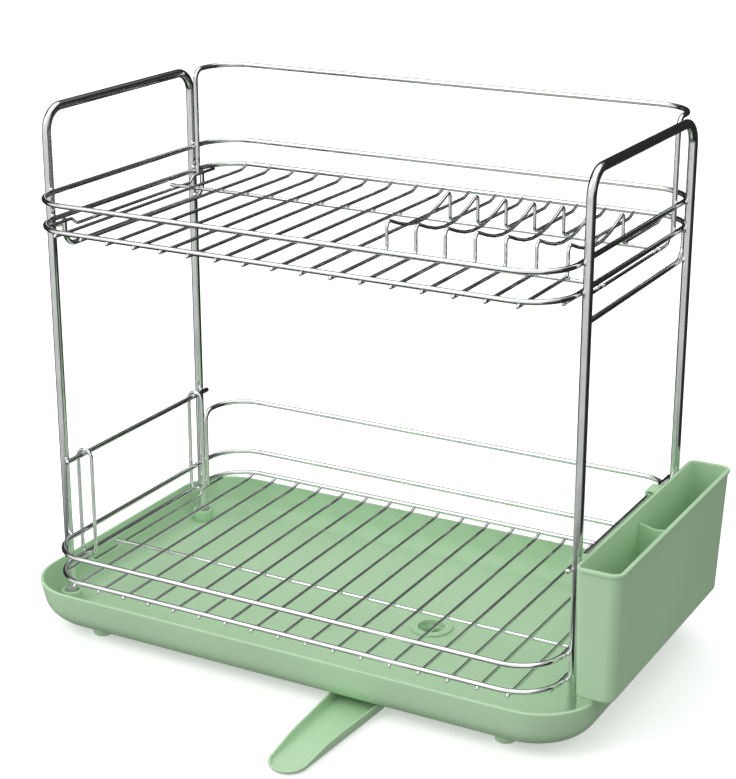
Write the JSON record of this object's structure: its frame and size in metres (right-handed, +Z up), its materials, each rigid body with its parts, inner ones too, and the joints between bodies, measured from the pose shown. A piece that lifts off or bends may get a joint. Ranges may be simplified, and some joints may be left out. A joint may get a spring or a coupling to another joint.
{
  "type": "dish drying rack",
  "caption": "Two-tier wire dish drying rack on two side frames, with plate dividers, a drip tray with a swivelling drain spout, and a hanging cutlery holder",
  "frame": {"origin": "on the surface that the tray feet stand on, below the middle of the overall box", "axes": "+X to the right along the rack, towards the cutlery holder; -Y to the front, where the spout comes out; +Z up"},
  "size_m": [0.5012, 0.377, 0.422],
  "materials": {
    "chromed_wire": "polished",
    "green_plastic": "satin",
    "grey_plastic": "matte"
  },
  "bodies": {
    "tray": {"tray": "green_plastic", "tray_feet": "green_plastic"},
    "spout": {"spout_trough": "green_plastic", "spout_clip": "green_plastic"},
    "rack": {"left_frame": "chromed_wire", "right_frame": "chromed_wire", "post_caps": "grey_plastic", "frame_welds": "chromed_wire", "left_shelf_rod": "chromed_wire", "right_shelf_rod": "chromed_wire", "left_guard_rod": "chromed_wire", "right_guard_rod": "chromed_wire", "front_board_loop": "chromed_wire", "rear_board_loop": "chromed_wire", "lower_top_rim": "chromed_wire", "lower_bottom_rim": "chromed_wire", "lower_floor_wires": "chromed_wire", "lower_edge_wires": "chromed_wire", "lower_cross_rod": "chromed_wire", "lower_back_rail": "chromed_wire"},
    "shelf": {"upper_top_rim": "chromed_wire", "upper_bottom_rim": "chromed_wire", "upper_floor_wires": "chromed_wire", "plate_dividers": "chromed_wire", "upper_edge_wires": "chromed_wire", "upper_front_cross_rod": "chromed_wire", "upper_rear_cross_rod": "chromed_wire", "upper_back_rail": "chromed_wire"},
    "cutlery": {"cutlery_shell": "green_plastic", "cutlery_partition": "green_plastic", "cutlery_hooks": "green_plastic"}
  },
  "joints": [
    {"name": "spout_swivel", "type": "hinge", "parent": "tray", "child": "spout", "pos_m": [0.05085, 0.0465, 0.009], "axis": [0, 0, 1], "range_deg": [-180, 34]},
    {"name": "rack_lift", "type": "slide", "parent": "tray", "child": "rack", "axis": [0, 0, 1], "range_m": [0, 0.06]},
    {"name": "shelf_lift", "type": "slide", "parent": "rack", "child": "shelf", "axis": [0, 0, 1], "range_m": [0, 0.11]},
    {"name": "cutlery_lift", "type": "slide", "parent": "rack", "child": "cutlery", "axis": [0, 0, 1], "range_m": [0, 0.06]}
  ]
}
